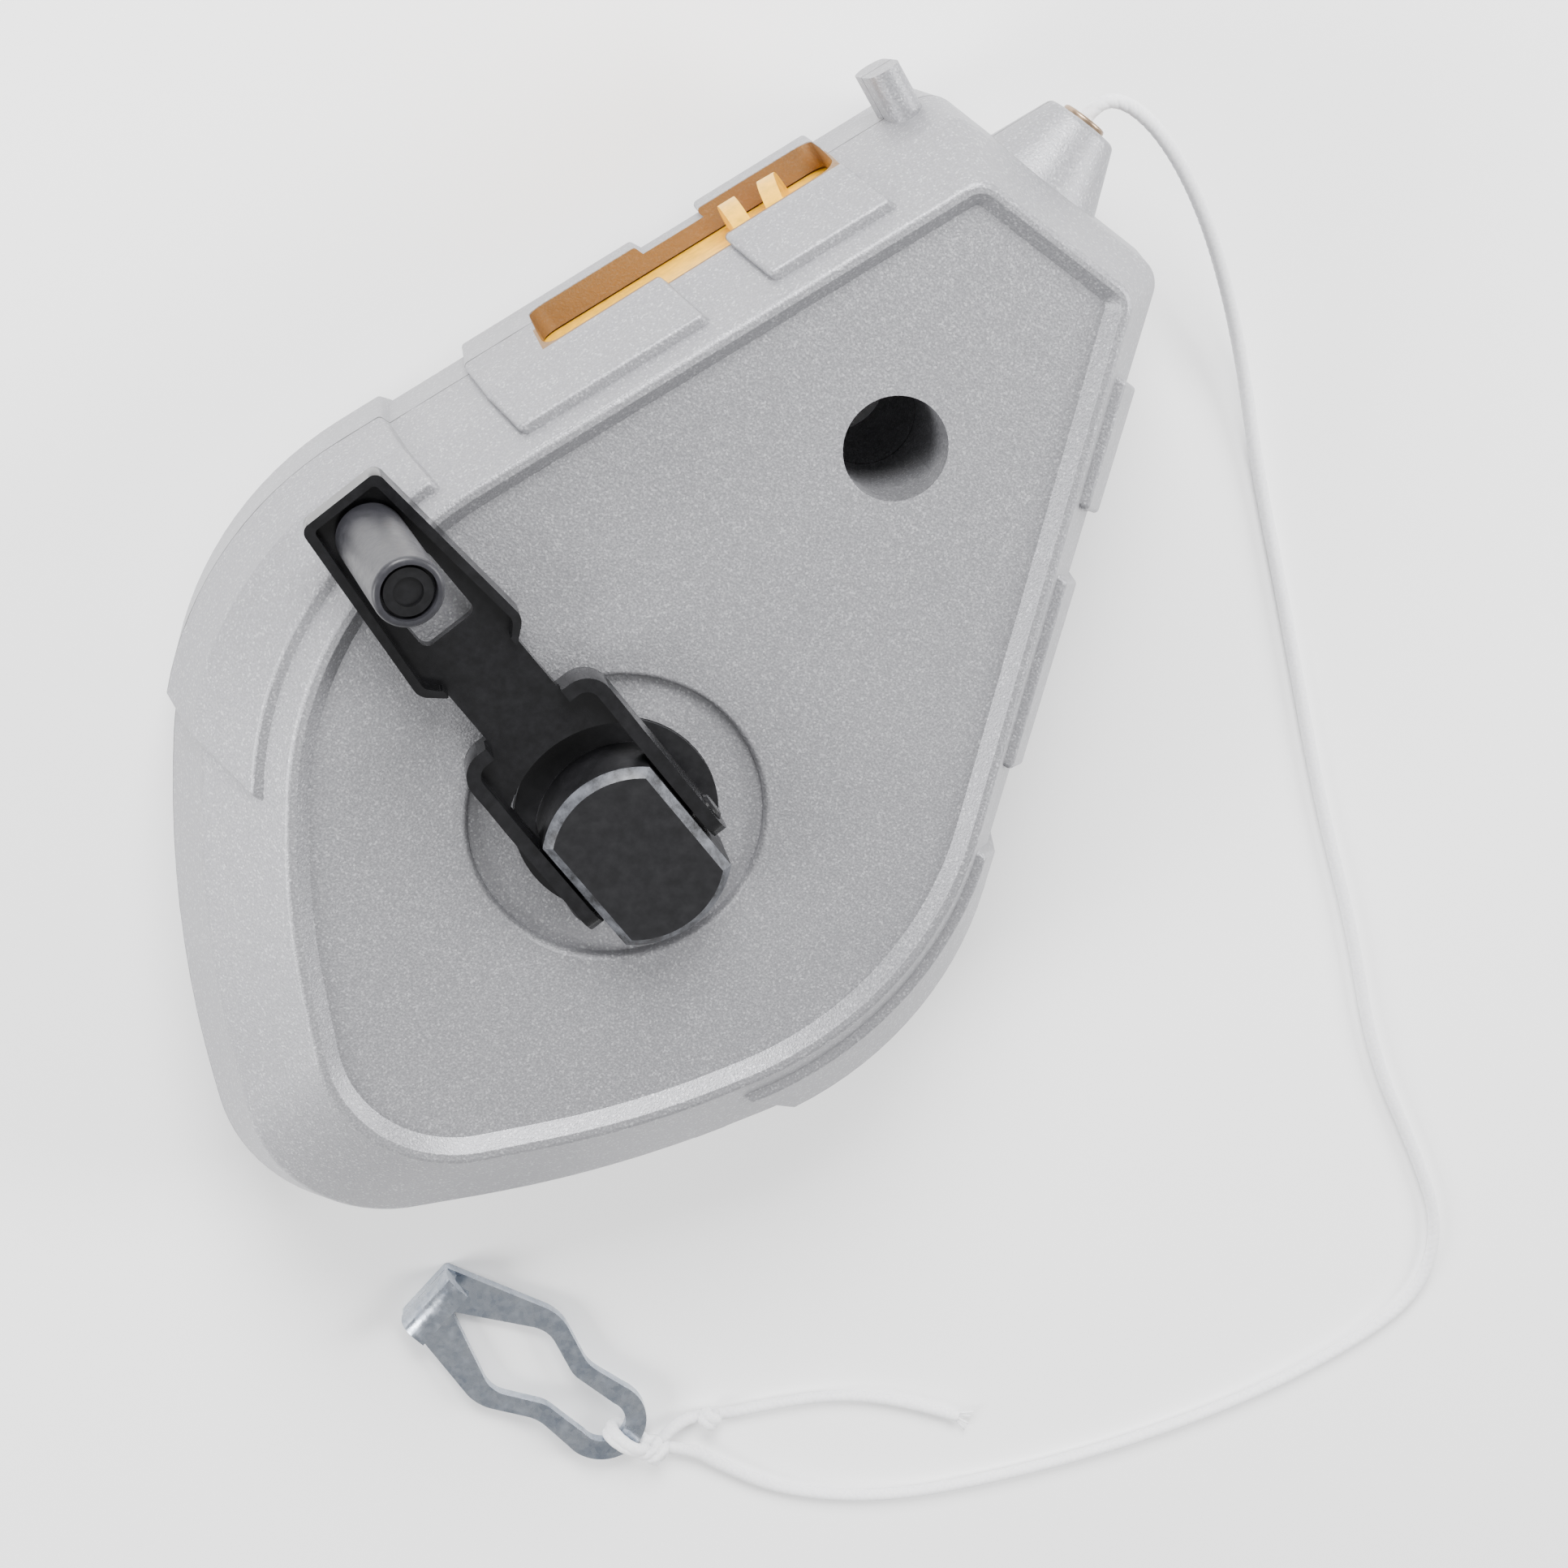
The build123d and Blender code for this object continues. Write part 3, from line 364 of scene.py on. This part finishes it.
castSettings = {
    "color": (0.31, 0.31, 0.325),
    "dark": (0.235, 0.235, 0.25),
    "bright": (0.52, 0.52, 0.54),
    "clouds": 45.0,
    "grain": 4200.0,  # blasted grain, grains per metre
    "grainShare": 0.45,
    "grainStops": (0.30, 0.50, 0.72),
    # painted glints: small bright cells put into the case's colour
    "paintedGlintCells": 5200.0,
    "paintedGlintAbove": 0.93,
    "paintedGlintShare": 0.6,
    "metallic": 0.6,
    "rough": ((0.3, 0.40), (0.7, 0.58)),
    "grainBump": (0.35, 0.16 * mm),
    "broadGrain": 420.0,
    "broadBump": (0.16, 0.3 * mm),
    "seamHeight": 15.5 * mm,
    "seamRagged": (260.0, 0.34 * mm, 0.04 * mm),
    "seamColor": (0.05, 0.05, 0.05),
    "seamShare": 0.85,
    # painted shade inside the filling slot, the door's yellow at a quarter brightness
    "slotPaintedShade": (0.22, 0.115, 0.03),
    "slotShadeShare": 0.9,
    "slotOutward": (-0.9220, 0.3875),  # outward direction of the left wall
    "slotOutside": 43.3 * mm,
    "slotInside": 37.5 * mm,
    "slotRun": (0.3875, 0.9220),
    "slotMiddle": 35.05 * mm,
    "slotHalf": 16.9 * mm,
    "slotHalfWidth": 6.7 * mm,
}


# The parting seam shows as a fine dark line that comes and goes.
def addSeam(tree, place, z, base, settings):
    scale, width, least = settings["seamRagged"]
    fromSeam = addMath(tree, "ABSOLUTE", addMath(tree, "SUBTRACT", z, settings["seamHeight"]))
    ragged = addMath(tree, "MULTIPLY", addNoise(tree, place, scale, 2.0), width)
    seam = addMath(tree, "LESS_THAN", fromSeam, addMath(tree, "SUBTRACT", ragged, least))
    share = addMath(tree, "MULTIPLY", seam, settings["seamShare"])
    return addMix(tree, share, base, settings["seamColor"])


# Inside the filling slot the casting gets painted shade: the yellow door's colour at a quarter of its
# brightness.
def addSlotPaintedShade(tree, axes, base, settings):
    x, y, z = axes
    out = addReach(tree, x, y, settings["slotOutward"])
    below = addMath(tree, "LESS_THAN", out, settings["slotOutside"])
    notDeep = addMath(tree, "GREATER_THAN", out, settings["slotInside"])
    along = addReach(tree, x, y, settings["slotRun"])
    near = addBand(tree, along, settings["slotMiddle"], settings["slotHalf"])
    low = addBand(tree, z, settings["seamHeight"], settings["slotHalfWidth"])
    inDepth = addMath(tree, "MULTIPLY", below, notDeep)
    inSlot = addMath(tree, "MULTIPLY", inDepth, addMath(tree, "MULTIPLY", near, low))
    share = addMath(tree, "MULTIPLY", inSlot, settings["slotShadeShare"])
    return addMix(tree, share, base, settings["slotPaintedShade"])


def makeCastMetal(settings):
    material, tree, shader = newMaterial("blastedAluminium")
    place = objectPlace(tree)
    axes = splitAxes(tree, place)
    clouds = addNoise(tree, place, settings["clouds"], 3.0, 0.6)
    grain = addNoise(tree, place, settings["grain"], 2.0, 0.6)
    base = addMix(tree, clouds, settings["dark"], settings["color"])
    tones = (settings["dark"], settings["color"], settings["bright"])
    spread = addRamp(tree, grain, list(zip(settings["grainStops"], tones)))
    base = addMix(tree, settings["grainShare"], base, spread)
    # Painted glints: the brightest cells take the bright tone, standing in for light caught by the grain.
    glint = addCells(tree, place, settings["paintedGlintCells"])
    flash = addMath(tree, "GREATER_THAN", glint, settings["paintedGlintAbove"])
    base = addMix(tree, addMath(tree, "MULTIPLY", flash, settings["paintedGlintShare"]), base, settings["bright"])
    base = addSeam(tree, place, axes[2], base, settings)
    base = addSlotPaintedShade(tree, axes, base, settings)
    tree.links.new(base, shader.inputs["Base Color"])
    tree.links.new(addGreyRamp(tree, grain, *settings["rough"]), shader.inputs["Roughness"])
    shader.inputs["Metallic"].default_value = settings["metallic"]
    fine = addBump(tree, grain, *settings["grainBump"])
    pits = addNoise(tree, place, settings["broadGrain"], 3.0)
    tree.links.new(addBump(tree, pits, *settings["broadBump"], fine), shader.inputs["Normal"])
    return material


blackSteelSettings = {
    "color": (0.004, 0.004, 0.0045),
    "dustColor": (0.0088, 0.0088, 0.0099),
    "dust": 900.0,
    "wear": 160.0,
    "rough": ((0.3, 0.20), (0.75, 0.36)),
    "coat": 0.12,
    "coatRough": 0.12,
    "specular": 0.28,
    "ripple": 700.0,
    "bump": (0.12, 0.1 * mm),
}


def makeBlackSteel(settings):
    material, tree, shader = newMaterial("glossBlackPaint")
    place = objectPlace(tree)
    dust = addNoise(tree, place, settings["dust"], 4.0, 0.6)
    base = addRamp(tree, dust, [(0.35, settings["color"]), (0.8, settings["dustColor"])])
    tree.links.new(base, shader.inputs["Base Color"])
    wear = addNoise(tree, place, settings["wear"], 3.0)
    tree.links.new(addGreyRamp(tree, wear, *settings["rough"]), shader.inputs["Roughness"])
    shader.inputs["Coat Weight"].default_value = settings["coat"]
    shader.inputs["Coat Roughness"].default_value = settings["coatRough"]
    shader.inputs["Specular IOR Level"].default_value = settings["specular"]
    ripple = addNoise(tree, place, settings["ripple"], 2.0)
    tree.links.new(addBump(tree, ripple, *settings["bump"]), shader.inputs["Normal"])
    return material


plasticSettings = {
    "darker": 0.8,
    "lighter": 1.15,
    "specular": 0.35,
    "smoother": 0.08,
    "rougher": 0.1,
    "bumpDepth": 0.15 * mm,
    "slant": 0.7071,  # a chamfer's normal stands this far up
    "slantSpread": 0.12,
    # noise that breaks the painted chamfer highlight into patches
    "highlightPatches": 520.0,
    "highlightPatchMask": ((0.35, 0.0), (0.65, 1.0)),
}


# Moulded plastic. With a chamfer highlight colour, its chamfers get a painted highlight of it, in patches.
def makePlastic(name, color, roughness, grain, bump, chamferHighlight=None):
    settings = plasticSettings
    material, tree, shader = newMaterial(name)
    place = objectPlace(tree)
    speck = addNoise(tree, place, grain, 3.0, 0.6)
    dark = tuple(settings["darker"] * channel for channel in color)
    light = tuple(min(1, settings["lighter"] * channel) for channel in color)
    base = addRamp(tree, speck, [(0.3, dark), (0.7, light)])
    if chamferHighlight:
        # Painted highlight: chamfer faces, whose normals stand about 45 degrees up, are lightened in
        # patches.
        normal = addNode(tree, "ShaderNodeTexCoord").outputs["Normal"]
        lift = addMath(tree, "ABSOLUTE", splitAxes(tree, normal)[2])
        slanted = addMath(tree, "COMPARE", lift, settings["slant"])
        slanted.node.inputs[2].default_value = settings["slantSpread"]
        highlightPatches = addGreyRamp(tree, addNoise(tree, place, settings["highlightPatches"], 5.0, 0.7), *settings["highlightPatchMask"])
        base = addMix(tree, addMath(tree, "MULTIPLY", slanted, highlightPatches), base, chamferHighlight)
    tree.links.new(base, shader.inputs["Base Color"])
    shader.inputs["Specular IOR Level"].default_value = settings["specular"]
    low = (0.2, roughness - settings["smoother"])
    high = (0.8, roughness + settings["rougher"])
    tree.links.new(addGreyRamp(tree, speck, low, high), shader.inputs["Roughness"])
    tree.links.new(addBump(tree, speck, bump, settings["bumpDepth"]), shader.inputs["Normal"])
    return material


zincSettings = {
    "tones": [(0.3, (0.26, 0.30, 0.37)), (0.55, (0.40, 0.44, 0.50)), (0.8, (0.58, 0.61, 0.64))],
    "clouds": 260.0,
    "crystals": 1700.0,
    "crystalShare": 0.35,
    "crystalColor": (0.62, 0.66, 0.72),
    "wear": 800.0,
    "rough": ((0.3, 0.16), (0.7, 0.40)),
    "ripple": 1300.0,
    "bump": (0.25, 0.1 * mm),
}


def makeZinc(settings):
    material, tree, shader = newMaterial("brightZinc")
    place = objectPlace(tree)
    base = addRamp(tree, addNoise(tree, place, settings["clouds"], 4.0, 0.65), settings["tones"])
    flake = addMath(tree, "MULTIPLY", addCells(tree, place, settings["crystals"]), settings["crystalShare"])
    base = addMix(tree, flake, base, settings["crystalColor"])
    tree.links.new(base, shader.inputs["Base Color"])
    shader.inputs["Metallic"].default_value = 1.0
    wear = addNoise(tree, place, settings["wear"], 3.0)
    tree.links.new(addGreyRamp(tree, wear, *settings["rough"]), shader.inputs["Roughness"])
    ripple = addNoise(tree, place, settings["ripple"], 3.0)
    tree.links.new(addBump(tree, ripple, *settings["bump"]), shader.inputs["Normal"])
    return material


turnedSettings = {
    "wear": 600.0,
    "darker": 0.6,
    "duller": 0.15,  # worn places are this much rougher
    "ripple": 1500.0,
    "bump": (0.15, 0.1 * mm),
}


def makeTurnedMetal(name, color, roughness):
    settings = turnedSettings
    material, tree, shader = newMaterial(name)
    place = objectPlace(tree)
    wear = addNoise(tree, place, settings["wear"], 5.0, 0.6)
    dark = tuple(settings["darker"] * channel for channel in color)
    tree.links.new(addRamp(tree, wear, [(0.3, dark), (0.65, color)]), shader.inputs["Base Color"])
    shader.inputs["Metallic"].default_value = 1.0
    rough = addGreyRamp(tree, wear, (0.3, roughness + settings["duller"]), (0.7, roughness))
    tree.links.new(rough, shader.inputs["Roughness"])
    ripple = addNoise(tree, place, settings["ripple"], 2.0)
    tree.links.new(addBump(tree, ripple, *settings["bump"]), shader.inputs["Normal"])
    return material


fibreSettings = {
    "fuzz": 3200.0,
    "tones": [(0.3, (0.74, 0.74, 0.76)), (0.7, (0.90, 0.90, 0.91))],
    "roughness": 0.72,
    "sheen": 0.35,
    "sheenRough": 0.5,
    "glow": 0.12,
    "glowReach": (0.8 * mm, 0.8 * mm, 0.8 * mm),
    "bump": (0.3, 0.1 * mm),
}


def makeLineFibre(settings):
    material, tree, shader = newMaterial("twistedWhiteFibre")
    fuzz = addNoise(tree, objectPlace(tree), settings["fuzz"], 4.0, 0.7)
    tree.links.new(addRamp(tree, fuzz, settings["tones"]), shader.inputs["Base Color"])
    shader.inputs["Roughness"].default_value = settings["roughness"]
    shader.inputs["Sheen Weight"].default_value = settings["sheen"]
    shader.inputs["Sheen Roughness"].default_value = settings["sheenRough"]
    shader.inputs["Subsurface Weight"].default_value = settings["glow"]
    shader.inputs["Subsurface Radius"].default_value = settings["glowReach"]
    tree.links.new(addBump(tree, fuzz, *settings["bump"]), shader.inputs["Normal"])
    return material


feltSettings = {
    "fluff": 1500.0,
    "tones": [(0.3, (0.30, 0.30, 0.29)), (0.7, (0.58, 0.57, 0.55))],
    "roughness": 0.95,
    "sheen": 0.4,
    "bump": (0.6, 0.3 * mm),
}


def makeFelt(settings):
    material, tree, shader = newMaterial("denseFelt")
    fluff = addNoise(tree, objectPlace(tree), settings["fluff"], 6.0, 0.75)
    tree.links.new(addRamp(tree, fluff, settings["tones"]), shader.inputs["Base Color"])
    shader.inputs["Roughness"].default_value = settings["roughness"]
    shader.inputs["Sheen Weight"].default_value = settings["sheen"]
    tree.links.new(addBump(tree, fluff, *settings["bump"]), shader.inputs["Normal"])
    return material


castMetal = makeCastMetal(castSettings)
blackSteel = makeBlackSteel(blackSteelSettings)
# The hub block's chamfers get a painted highlight in light grey.
hubBlack = makePlastic(
    "hubBlack", color=(0.008, 0.008, 0.009), roughness=0.40, grain=700.0, bump=0.18,
    chamferHighlight=(0.10, 0.105, 0.12),
)
gripGrey = makePlastic("gripGrey", color=(0.022, 0.022, 0.026), roughness=0.38, grain=1200.0, bump=0.15)
doorYellow = makePlastic("doorYellow", color=(0.86, 0.45, 0.01), roughness=0.34, grain=900.0, bump=0.08)
spoolBlack = makePlastic("spoolBlack", color=(0.05, 0.05, 0.055), roughness=0.5, grain=900.0, bump=0.12)
zinc = makeZinc(zincSettings)
turnedSteel = makeTurnedMetal("turnedSteel", color=(0.55, 0.55, 0.56), roughness=0.28)
screwSteel = makeTurnedMetal("screwSteel", color=(0.42, 0.42, 0.43), roughness=0.32)
eyeletBronze = makeTurnedMetal("eyeletBronze", color=(0.42, 0.30, 0.20), roughness=0.26)
bushBronze = makeTurnedMetal("bushBronze", color=(0.50, 0.33, 0.16), roughness=0.38)
lineFibre = makeLineFibre(fibreSettings)
feltGrey = makeFelt(feltSettings)
print("materials made")

finishes = {
    "front_shell": castMetal,
    "rear_shell": castMetal,
    "nose": castMetal,
    "line_eyelet": eyeletBronze,
    "line_wiper": feltGrey,
    "hub_block": hubBlack,
    "crank_pins": blackSteel,
    "drive_shaft": turnedSteel,
    "hub_washer": turnedSteel,
    "rear_bush": bushBronze,
    "spool": spoolBlack,
    "spool_clip": turnedSteel,
    "line_winding": lineFibre,
    "crank_arm": blackSteel,
    "crank_grip": gripGrey,
    "grip_rivet": blackSteel,
    "fill_door": doorYellow,
    "door_seal": feltGrey,
    "case_screws": screwSteel,
    "line_lead": lineFibre,
    "line_knot": lineFibre,
    "line_tail": lineFibre,
    "chalk_line": lineFibre,
    "line_hook": zinc,
}
for piece in (freeLine, lineTail, lineKnot):
    piece.data.materials.append(lineFibre)
for nodeName, material in finishes.items():
    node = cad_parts[nodeName]
    node.data.materials.clear()
    node.data.materials.append(material)
print("finishes given to the frame")


# Sharp edges of stamped and moulded pieces are rounded a little

edgeSettings = {
    "widths": {
        "line_hook": 0.32 * mm,
        "crank_arm": 0.22 * mm,
        "hub_block": 0.25 * mm,
        "fill_door": 0.18 * mm,
        "crank_pins": 0.12 * mm,
        "line_eyelet": 0.08 * mm,
    },
    "mergeWithin": 0.005 * mm,
    "segments": 3,
    "sharperThan": 38,  # degrees
}


def softenEdges(settings):
    for nodeName, width in settings["widths"].items():
        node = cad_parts[nodeName]
        weld = node.modifiers.new("weld", "WELD")
        weld.merge_threshold = settings["mergeWithin"]
        bevel = node.modifiers.new("softEdges", "BEVEL")
        bevel.width = width
        bevel.segments = settings["segments"]
        bevel.limit_method = "ANGLE"
        bevel.angle_limit = math.radians(settings["sharperThan"])


softenEdges(edgeSettings)
print("edges softened")


# Floor and light

lightSettings = {
    "floorColor": (0.985, 0.985, 0.985),
    "floorHalf": 1.6,
    "floorRough": 0.9,
    "world": 0.62,
    "aim": (0.02, 0, 0),
    "lamps": [
        # name, place, size, watts
        ("keySoft", (-0.34, 0.40, 0.42), 0.30, 10.0),
        ("noseSoft", (0.42, 0.42, 0.34), 0.26, 5.0),
        ("tailSoft", (-0.36, -0.44, 0.34), 0.26, 5.0),
    ],
}


def addFloor(settings):
    half = settings["floorHalf"]
    corners = [(-half, -half, 0), (half, -half, 0), (half, half, 0), (-half, half, 0)]
    mesh = bpy.data.meshes.new("floor")
    mesh.from_pydata(corners, [], [(0, 1, 2, 3)])
    floor = bpy.data.objects.new("floor", mesh)
    bpy.context.scene.collection.objects.link(floor)
    material, _, shader = newMaterial("paleFloor")
    shader.inputs["Base Color"].default_value = (*settings["floorColor"], 1)
    shader.inputs["Roughness"].default_value = settings["floorRough"]
    floor.data.materials.append(material)


def addLight(settings):
    world = bpy.data.worlds.new("studio")
    world.use_nodes = True
    background = world.node_tree.nodes["Background"]
    background.inputs["Color"].default_value = (1, 1, 1, 1)
    background.inputs["Strength"].default_value = settings["world"]
    bpy.context.scene.world = world
    for name, place, size, watts in settings["lamps"]:
        lamp = bpy.data.lights.new(name, "AREA")
        lamp.size = size
        lamp.energy = watts
        holder = bpy.data.objects.new(name, lamp)
        aim = Vector(settings["aim"]) - Vector(place)
        holder.location = place
        holder.rotation_mode = "QUATERNION"
        holder.rotation_quaternion = aim.to_track_quat("-Z", "Y")
        bpy.context.scene.collection.objects.link(holder)


addFloor(lightSettings)
addLight(lightSettings)
print("stage lit")
